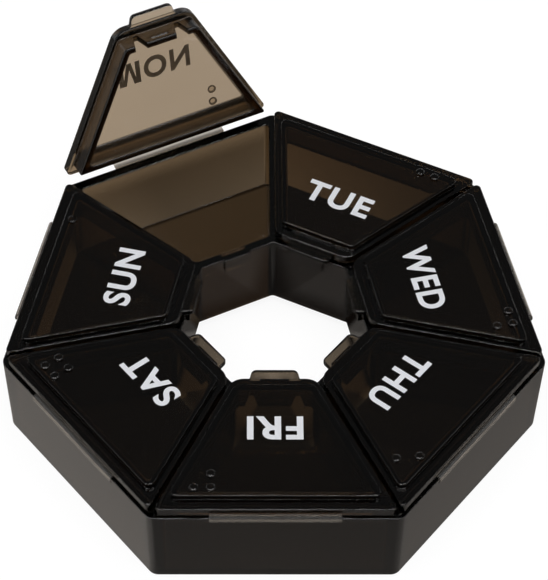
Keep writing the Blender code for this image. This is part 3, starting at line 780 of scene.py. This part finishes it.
def film_grid(day):
    """Loops round the film's cross-section, one for each place along the side, in the sector's frame.

    The second result is how dark the film is painted: darker in streaks along it, a sine of the place
    across, whose start sways with another sine along the side.
    """
    fixed, moved = film_ends(SWING[day])
    span = np.linalg.norm(moved - fixed)
    half = half_arc_angle(span, max(FILM_LENGTH, span * FILM_SLACK))
    radius = span / (2.0 * math.sin(half))
    ahead = (moved - fixed) / span
    outward = np.array([ahead[1], -ahead[0]])
    centre = (fixed + moved) / 2.0 - outward * radius * math.cos(half)
    angle = np.linspace(-half, half, FILM_ACROSS)[:, None]
    direction = outward * np.cos(angle) + ahead * np.sin(angle)
    across = np.linspace(-1.0, 1.0, FILM_ACROSS)[:, None]
    thickness = FILM_MIDDLE + (FILM_END - FILM_MIDDLE) * across ** 2
    front = centre + direction * (radius + thickness / 2.0)
    back = centre + direction * (radius - thickness / 2.0)
    section = np.concatenate([front, back[::-1]])
    along = np.linspace(-FILM_HALF_WIDTH, FILM_HALF_WIDTH, FILM_ALONG)[:, None]
    grid = stacked(section[:, 0], along, section[:, 1])
    sway = SWAY * np.sin(along / SWAY_LENGTH)
    both_faces = np.concatenate([across, across[::-1]]).T
    streaks = STREAK_DARK * (0.5 + 0.5 * np.sin(STREAK_WAVES * both_faces + sway))
    return grid, streaks, fixed, moved


print("film: %.2f mm long, %.2f mm thin in the middle" % (FILM_LENGTH / MM, FILM_MIDDLE / MM))

# %% [markdown]
# A film joins the tray at one end and the lid at the other. It is shaped between the rim and the lid
# where the lid stands, and is not attached to either of them.

# %% Build the living hinges
films = {}
for day in DAYS:
    grid, streaks, fixed, moved = film_grid(day)
    placed = in_place(grid, day)
    films[day] = closed_skin(day + "_hinge_film", [placed], [[placed[0]], [placed[-1]]], darks=[streaks])
    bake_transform(films[day])
    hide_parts(day + "_hinge")

# %% [markdown]
# The day names are plain bold capitals. A text object gives their outlines and is made a mesh. Blender's
# own font has no bold M that stays open, so that letter is drawn here.

# %% Draw plain capitals
CAP_STEM = 0.22
CAP_GAP = 0.17
BOLD_SHARE = 0.030
LETTER_SPACING = 1.14
CURVE_STEPS = 8


def capital_m():
    """A plain M, one unit tall: two stems, and two diagonals that meet at the baseline."""
    wide, foot, shoulder, notch, valley = 0.98, 0.10, 0.09, 0.74, 0.30
    middle, inner = wide / 2.0, CAP_STEM - 0.01
    left = [(middle - foot, 0.0), (inner, notch), (inner, 0.0), (0.0, 0.0), (0.0, 1.0),
            (CAP_STEM + shoulder, 1.0), (middle, valley)]
    right = [(wide - x, y) for x, y in reversed(left[:-1])]
    points = np.array(left + right)
    faces = tessellate_polygon([[(*point, 0.0) for point in points]])
    return points, [tuple(face) for face in faces]


def word_points(text):
    """A word's points and faces, with its capitals one unit tall and its middle at zero.

    The font's own M closes up when it is made bold, so a word that starts with M gets the one above.
    """
    if text.startswith("M"):
        first, first_faces = capital_m()
        rest, rest_faces = word_points(text[1:])
        rest = rest + [first[:, 0].max() + CAP_GAP - rest[:, 0].min(), 0.0]
        points = np.concatenate([first, rest])
        points[:, 0] -= (points[:, 0].min() + points[:, 0].max()) / 2.0
        return points, first_faces + [tuple(i + len(first) for i in face) for face in rest_faces]
    curve = bpy.data.curves.new("word", "FONT")
    curve.body = text
    curve.offset = BOLD_SHARE
    curve.space_character = LETTER_SPACING
    curve.resolution_u = CURVE_STEPS
    letters = new_object("word", curve)
    graph = bpy.context.evaluated_depsgraph_get()
    mesh = bpy.data.meshes.new_from_object(letters.evaluated_get(graph))
    points = np.empty(len(mesh.vertices) * 3)
    mesh.vertices.foreach_get("co", points)
    points = points.reshape(-1, 3)[:, :2]
    faces = [tuple(face.vertices) for face in mesh.polygons]
    bpy.data.objects.remove(letters)
    bpy.data.curves.remove(curve)
    bpy.data.meshes.remove(mesh)
    low, high = points.min(axis=0), points.max(axis=0)
    points = (points - [(low[0] + high[0]) / 2.0, low[1]]) / (high[1] - low[1])
    return points, faces


print("own M: %.2f times as wide as it is tall" % np.ptp(capital_m()[0][:, 0]))

# %% [markdown]
# Each name is printed on its panel in white. The letters' tops point to the rim, so a name stands
# upright for a reader on the hole's side. A print has hardly any thickness, but it needs some, so that
# it is a body with two faces.

# %% Print the day names
CAP_HEIGHT = 5.5 * MM
WORD_BASELINE = 28.05 * MM
WORD_WIDTH = by_day(14.65 * MM, 16.0 * MM, 14.3 * MM, 16.5 * MM, 14.6 * MM, 10.8 * MM, 13.4 * MM)
INK_LIFT = 0.02 * MM
INK_THICKNESS = 0.03 * MM

words = {}
for day in DAYS:
    points, faces = word_points(day[:3].upper())
    x = WORD_BASELINE + points[:, 1] * CAP_HEIGHT
    y = -points[:, 0] * WORD_WIDTH[day] / np.ptp(points[:, 0])
    sheet = stacked(x, y, PANEL_HIGH + INK_LIFT)
    mesh = bpy.data.meshes.new(day + "_word")
    mesh.from_pydata(in_place(sheet, day, SWING[day]), [], faces)
    words[day] = new_object(day + "_word", mesh)
    ink_body = words[day].modifiers.new("ink thickness", "SOLIDIFY")
    ink_body.thickness = INK_THICKNESS
    ink_body.offset = 1.0
    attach(words[day], day + "_lid")
    print("%s: %.1f mm wide" % (day[:3].upper(), np.ptp(y) / MM))

# %% [markdown]
# A material is a small network of nodes. With these helpers it can be written in short lines: feed gives
# a node its inputs, add makes a node, and the others make the nodes that are needed most.

# %% Make helpers for materials
def feed(tree, node, inputs):
    """Give a node its inputs by name or number: a number, a colour, or another node's output."""
    for name, value in inputs.items():
        if isinstance(value, bpy.types.NodeSocket):
            tree.links.new(value, node.inputs[name])
        else:
            node.inputs[name].default_value = value


def add(tree, kind, inputs, **settings):
    """Add a node with its settings and its inputs, and return its outputs."""
    node = tree.nodes.new("ShaderNode" + kind)
    for name, value in settings.items():
        setattr(node, name, value)
    feed(tree, node, inputs)
    return node.outputs


def maths(tree, operation, *values, clamp=False):
    """The result of a maths node. A value is a number or another node's output."""
    return add(tree, "Math", dict(enumerate(values)), operation=operation, use_clamp=clamp)["Value"]


def ranged(tree, value, low, high, start=0.0, end=1.0, shape="LINEAR"):
    """A value that runs from low to high while the one given runs from start to end."""
    inputs = {"Value": value, "From Min": start, "From Max": end, "To Min": low, "To Max": high}
    return add(tree, "MapRange", inputs, interpolation_type=shape)["Result"]


def mixed(tree, share, one, other):
    """A colour between two colours."""
    return add(tree, "Mix", {"Factor": share, "A": one, "B": other}, data_type="RGBA")["Result"]


def noise(tree, scale, detail):
    """A noise on the piece's own coordinates."""
    place = add(tree, "TexCoord", {})["Object"]
    return add(tree, "TexNoise", {"Vector": place, "Scale": scale, "Detail": detail})["Fac"]


def new_material(name):
    """A material, its node tree, its shader and its output node."""
    material = bpy.data.materials.new(name)
    material.use_nodes = True
    tree = material.node_tree
    print("material:", name)
    return material, tree, tree.nodes["Principled BSDF"], tree.nodes["Material Output"]


# %% [markdown]
# The plastic lets about a third of the light through a lid and much less through a wall seen edge-on.
# That is what absorption does in a solid: light fades with the way that it goes inside. So the surface
# is clear plastic that bends and mirrors light, and the colour is in the volume, where blue fades first.
# A faint unevenness of the polish, in roughness and bump, keeps the flats from mirroring ideally. The
# base colour is also a little paler at random, and darker where the points' darkness says, which on the
# lids and the tray is painted shade.

# %% Make the smoke-coloured plastic
PLASTIC_IOR = 1.49
SMOKE_COLOUR = (0.43, 0.295, 0.09, 1.0)
SMOKE_DENSITY = 1000.0
BLACK_SHADE = 0.02
PALEST, CLEAREST = 0.90, 1.0
GRAIN_ROUGHNESS = 0.22
FLOW_SCALE, FLOW_DETAIL = 60.0, 3.0
PEEL_SCALE, PEEL_DETAIL = 450.0, 2.0
PEEL = {"Strength": 0.05, "Distance": 0.02 * MM}


def smoke_plastic(name, polish, clear=1.0):
    """Clear plastic with absorption inside. polish is the roughness's low and high.

    clear is the share of light that goes through; a film that is whitened by bending scatters the rest.
    The points' darkness is painted into the base colour, which falls towards BLACK_SHADE. It also
    roughens the surface: the roughness climbs until the grain's level and falls again until full black,
    as a ping-pong of the darkness does.
    """
    material, tree, shader, output = new_material(name)
    dark = add(tree, "Attribute", {}, attribute_name="dark")["Fac"]
    flow = noise(tree, FLOW_SCALE, FLOW_DETAIL)
    tint = ranged(tree, flow, PALEST, CLEAREST)
    shade = maths(tree, "MULTIPLY", tint, ranged(tree, dark, 1.0, BLACK_SHADE))
    grain = maths(tree, "PINGPONG", dark, GRAIN_AND_SHADE)
    rough = maths(tree, "MULTIPLY_ADD", grain, GRAIN_ROUGHNESS / GRAIN_AND_SHADE, ranged(tree, flow, *polish))
    peel = noise(tree, PEEL_SCALE, PEEL_DETAIL)
    bump = add(tree, "Bump", {"Height": peel, **PEEL})["Normal"]
    feed(tree, shader, {"Transmission Weight": clear, "IOR": PLASTIC_IOR, "Base Color": shade,
                        "Roughness": rough, "Normal": bump})
    smoke = add(tree, "VolumeAbsorption", {"Color": SMOKE_COLOUR, "Density": SMOKE_DENSITY})["Volume"]
    feed(tree, output, {"Volume": smoke})
    return material


lid_plastic = smoke_plastic("lid_smoke_plastic", (0.015, 0.05))
tray_plastic = smoke_plastic("tray_smoke_plastic", (0.02, 0.08))
film_plastic = smoke_plastic("hinge_film_plastic", (0.03, 0.12), clear=0.985)
for day in DAYS:
    lids[day].data.materials.append(lid_plastic)
    films[day].data.materials.append(film_plastic)
tray.data.materials.append(tray_plastic)

# %% [markdown]
# The print is a thin white ink. Seen from the front it is matt white, and from behind, through the lid,
# it is brown, because some light comes through it.

# %% Make the white ink
INK_THIN, INK_FULL = (0.91, 0.93, 0.98, 1.0), (0.97, 0.98, 1.00, 1.0)
INK_SCALE, INK_DETAIL = 1400.0, 2.0
INK_CLARITY = 0.30
INK_ROUGHNESS = 0.45

ink, tree, shader, output = new_material("white_print")
cover = noise(tree, INK_SCALE, INK_DETAIL)
feed(tree, shader, {"Base Color": mixed(tree, cover, INK_THIN, INK_FULL), "Roughness": INK_ROUGHNESS,
                    "Transmission Weight": INK_CLARITY})
for day in DAYS:
    words[day].data.materials.append(ink)

# %% [markdown]
# The floor is pale and shows as white, with the box's soft shadow. Clear plastic shows what lies behind
# it, and the real table under the box gets its light through seven lids and a tray. Tracing that light
# back would take very long, so the floor is given its brightness by place, for rays that have gone
# through the plastic or come off it. The values were found by matching the picture's tones.
#
# There is one table for each ring: in the hole, at its wall, under the box, in the line where the outer
# wall stands, just beside it, and further out. For every day's direction it has a share of the floor's
# tint, or a colour, or a list of these that is spread anticlockwise over the sector.

# %% Set the floor's brightness
FLOOR_TINT = (1.0, 0.93, 0.86)
IN_THE_MIDDLE = (0.35, 0.33, 0.31, 1.0)
DARK = (0.008, 0.006, 0.005)
INSIDE = by_day(0.25, 0.22, 0.31, 0.25, 0.18, 0.065, 0.18)
AT_THE_HOLE = by_day(0.20, 0.08, 0.10, 0.20, 0.06, 0.015, 0.06)
# The open compartment lets light down to the floor, except behind its divider
UNDER = by_day(DARK, [(0.083, 0.063, 0.043)] * 4 + [DARK], *[DARK] * 5)
AT_THE_FOOT = by_day(DARK, [(0.030, 0.022, 0.015)] * 4 + [DARK], *[DARK] * 5)
BESIDE = by_day([0.22, 0.26, 0.50], [0.27, 0.22, 0.20, 0.30, 0.05], [0.06, 0.28, 0.46],
                [0.29, 0.10, 0.08], 0.29, 0.25, 0.50)
FURTHER = by_day(0.2, (0.90, 0.86, 0.83), 0.4, 0.8, 0.8, 0.6, 0.8)
# Each ring with the two distances from the axis between which the light changes to its levels
RINGS = ((INSIDE, 0.0 * MM, 3.0 * MM), (AT_THE_HOLE, 10.0 * MM, 15.0 * MM),
         (UNDER, 16.5 * MM, 18.0 * MM), (AT_THE_FOOT, 46.9 * MM, 47.5 * MM),
         (BESIDE, 48.2 * MM, 49.2 * MM), (FURTHER, 61.0 * MM, 71.0 * MM))
SECTOR_EDGE = 0.03
WHOLE_TURN = 2.0 * math.pi
FIRST_EDGE = float(AZIMUTH["saturday"]) - HALF_SECTOR
print("floor: %d rings of %d levels" % (len(RINGS), SIDES))

# %% [markdown]
# The levels become colour ramps that run once round the axis, and the ramps are mixed in one after the
# other, from the axis outwards.

# %% Make the floor's light
def ring_colours(level_by_day):
    """Positions round the ring, as shares of a turn from its first edge, and the colour at each."""
    stops = []
    in_order = sorted(DAYS, key=lambda day: (AZIMUTH[day] - FIRST_EDGE) % WHOLE_TURN)
    for place, day in enumerate(in_order):
        level = level_by_day[day]
        spread = level if isinstance(level, list) else [level, level]
        shares = np.linspace(place + SECTOR_EDGE, place + 1 - SECTOR_EDGE, len(spread)) / SIDES
        stops += [(share, np.broadcast_to(part, 3) * (1.0 if isinstance(part, tuple) else FLOOR_TINT))
                  for share, part in zip(shares, spread)]
    return stops


def colour_ramp(tree, position, stops):
    """The colour at a position of a ramp, whose stops are pairs of a position and a colour."""
    node = tree.nodes.new("ShaderNodeValToRGB")
    while len(node.color_ramp.elements) < len(stops):
        node.color_ramp.elements.new(1.0)
    for element, (place, colour) in zip(node.color_ramp.elements, stops):
        element.position = place
        element.color = (*colour[:3], 1.0)
    feed(tree, node, {"Fac": position})
    return node.outputs["Color"]


def floor_light(tree):
    """The floor's brightness by place: seven-sided rings, each with a level for every day's direction.

    A place's distance is the radius times the cosine of its angle from the sector's middle.
    """
    place = add(tree, "TexCoord", {})["Object"]
    arm = add(tree, "VectorMath", {0: place, 1: (*RING_CENTRE, 0.0)}, operation="SUBTRACT")["Vector"]
    radius = add(tree, "VectorMath", {0: arm}, operation="LENGTH")["Value"]
    parts = add(tree, "SeparateXYZ", {"Vector": arm})
    angle = maths(tree, "ARCTAN2", parts["Y"], parts["X"])
    wrapped = maths(tree, "WRAP", angle, FIRST_EDGE + WHOLE_TURN, FIRST_EDGE)
    from_middle = maths(tree, "SUBTRACT", wrapped, FIRST_EDGE + HALF_SECTOR)
    in_sector = maths(tree, "WRAP", from_middle, HALF_SECTOR, -HALF_SECTOR)
    reach = maths(tree, "MULTIPLY", radius, maths(tree, "COSINE", in_sector))
    turn = maths(tree, "DIVIDE", maths(tree, "SUBTRACT", wrapped, FIRST_EDGE), WHOLE_TURN)
    level = IN_THE_MIDDLE
    for level_by_day, start, end in RINGS:
        beyond = ranged(tree, reach, 0.0, 1.0, start, end, "SMOOTHSTEP")
        level = mixed(tree, beyond, level, colour_ramp(tree, turn, ring_colours(level_by_day)))
    return level


print("stops in each ring's ramp:", [len(ring_colours(ring[0])) for ring in RINGS])

# %% [markdown]
# The camera sees mostly a constant white, mixed with a share of plain paint, which keeps the box's soft
# shadow. Rays that come through the plastic or off it see the rings of light.

# %% Lay the floor
FLOOR_DROP = 0.2 * MM
FLOOR_SIZE = 3.0
FLOOR_PAINT = (0.88, 0.88, 0.88, 1.0)
FLOOR_ROUGHNESS = 0.9
CAMERA_WHITE = (1.06, 1.06, 1.06, 1.0)
CAMERA_WHITE_SHARE = 0.86

paper, tree, shader, output = new_material("pale_floor")
feed(tree, shader, {"Base Color": FLOOR_PAINT, "Roughness": FLOOR_ROUGHNESS, "Specular IOR Level": 0.0})
ray = add(tree, "LightPath", {})
through = maths(tree, "ADD", ray["Is Glossy Ray"], ray["Is Transmission Ray"], clamp=True)
seen = mixed(tree, through, CAMERA_WHITE, floor_light(tree))
glow = add(tree, "Emission", {"Color": seen})["Emission"]
shown = maths(tree, "MULTIPLY_ADD", ray["Is Camera Ray"], CAMERA_WHITE_SHARE, through, clamp=True)
surface = add(tree, "MixShader", {"Fac": shown, 1: shader.outputs["BSDF"], 2: glow})["Shader"]
feed(tree, output, {"Surface": surface})

floor_mesh = bpy.data.meshes.new("floor")
floor_corners = np.array([[-1, -1], [1, -1], [1, 1], [-1, 1]]) * FLOOR_SIZE
floor_mesh.from_pydata([(*corner, -FLOOR_DROP) for corner in floor_corners], [], [(0, 1, 2, 3)])
floor = new_object("floor", floor_mesh)
floor_mesh.materials.append(paper)

# %% [markdown]
# The sky is a gradient and the lamp a large rectangle. A soft lamp straight above leaves the flat lids
# black, as in the picture, and draws thin light lines along their rounded edges.

# %% Light the studio
SKY_LOW, SKY_HIGH = 0.9, 0.10
FADE_START, FADE_END = 0.20, 0.62
LAMP_PLACE, LAMP_AIM = Vector((0.0, -0.14, 0.75)), Vector((0.0, 0.0, 0.0))
LAMP_WIDTH, LAMP_DEPTH, LAMP_WATTS = 0.85, 0.60, 5.2

world = bpy.data.worlds.new("studio")
bpy.context.scene.world = world
world.use_nodes = True
sky = world.node_tree
height = add(sky, "SeparateXYZ", {"Vector": add(sky, "TexCoord", {})["Generated"]})["Z"]
brightness = ranged(sky, height, SKY_LOW, SKY_HIGH, FADE_START, FADE_END, "SMOOTHSTEP")
feed(sky, sky.nodes["Background"], {"Color": brightness})

lamp = bpy.data.lights.new("overhead", "AREA")
lamp.shape, lamp.size, lamp.size_y, lamp.energy = "RECTANGLE", LAMP_WIDTH, LAMP_DEPTH, LAMP_WATTS
overhead = new_object("overhead", lamp)
overhead.location = LAMP_PLACE
overhead.rotation_euler = (LAMP_AIM - LAMP_PLACE).to_track_quat("-Z", "Y").to_euler()
print("lamp: %.2f by %.2f m, %.1f W" % (LAMP_WIDTH, LAMP_DEPTH, LAMP_WATTS))

# %% [markdown]
# The camera was found by matching points of the ring with the picture. It stands in front, looks down at
# about fifty degrees, and has a long lens, so that the ring's far side is hardly smaller.

# %% Set the camera
CAMERA_PLACE = Vector((RING_CENTRE[0] - 0.006115, RING_CENTRE[1] - 0.335744, 0.433633))
CAMERA_AIM = Vector((RING_CENTRE[0] + 0.000166, RING_CENTRE[1] + 0.013910, 0.010772))
CAMERA_LENS = 165.55
CAMERA_ROLL = math.radians(0.892)
SENSOR_WIDTH = 36.0
CLIP_NEAR, CLIP_FAR = 0.01, 10.0

camera_data = bpy.data.cameras.new("camera")
camera_data.lens, camera_data.sensor_width = CAMERA_LENS, SENSOR_WIDTH
camera_data.clip_start, camera_data.clip_end = CLIP_NEAR, CLIP_FAR
camera = new_object("camera", camera_data)
camera.location = CAMERA_PLACE
look = (CAMERA_AIM - CAMERA_PLACE).to_track_quat("-Z", "Y").to_matrix()
camera.rotation_euler = (look @ Matrix.Rotation(CAMERA_ROLL, 3, "Z")).to_euler()
bpy.context.scene.camera = camera
bpy.context.scene.view_settings.view_transform = "Standard"
print("camera: %.0f mm lens, %.2f m from its aim" % (CAMERA_LENS, (CAMERA_AIM - CAMERA_PLACE).length))
